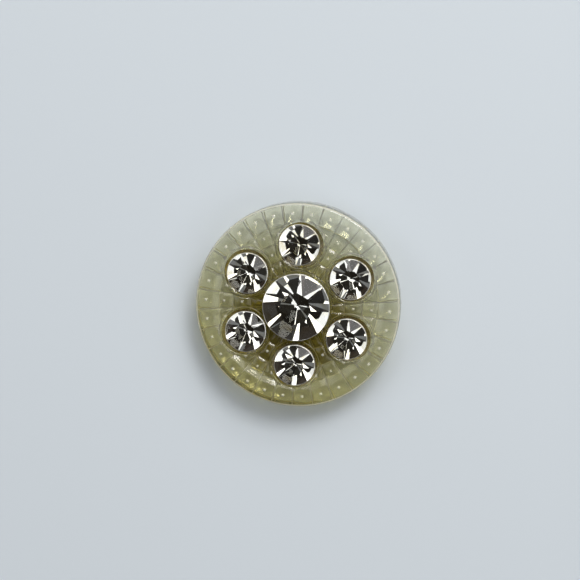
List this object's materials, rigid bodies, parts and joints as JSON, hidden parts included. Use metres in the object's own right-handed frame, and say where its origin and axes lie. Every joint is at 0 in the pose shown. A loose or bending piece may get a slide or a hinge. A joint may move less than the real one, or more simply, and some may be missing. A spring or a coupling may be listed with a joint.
{
  "type": "shank button",
  "caption": "Round sew-on shank button of clear tinted moulded plastic with a tiled face, set with a large and a ring of small foiled glass stones.",
  "frame": {"origin": "on the button's axis at the foot of the shank, the lowest point of the part", "axes": "+Z along the button's axis, out of the decorated face; +Y towards the first outer stone; the thread hole runs along X"},
  "size_m": [0.023, 0.023, 0.0071],
  "materials": {
    "moulded_plastic": "clear, slightly yellowed, polished",
    "stone_glass": "clear, sharply faceted",
    "foil": "silvered, lacquered behind",
    "cement": "clear, aged to amber"
  },
  "bodies": {
    "root": {"button_body": "moulded_plastic", "shank": "moulded_plastic", "shank_cement": "cement", "centre_stone": "stone_glass", "centre_stone_foil": "foil", "centre_cement": "cement", "outer_stone_1": "stone_glass", "outer_stone_2": "stone_glass", "outer_stone_3": "stone_glass", "outer_stone_4": "stone_glass", "outer_stone_5": "stone_glass", "outer_stone_6": "stone_glass", "outer_stone_foil_1": "foil", "outer_stone_foil_2": "foil", "outer_stone_foil_3": "foil", "outer_stone_foil_4": "foil", "outer_stone_foil_5": "foil", "outer_stone_foil_6": "foil", "outer_cement_1": "cement", "outer_cement_2": "cement", "outer_cement_3": "cement", "outer_cement_4": "cement", "outer_cement_5": "cement", "outer_cement_6": "cement"}
  },
  "joints": []
}
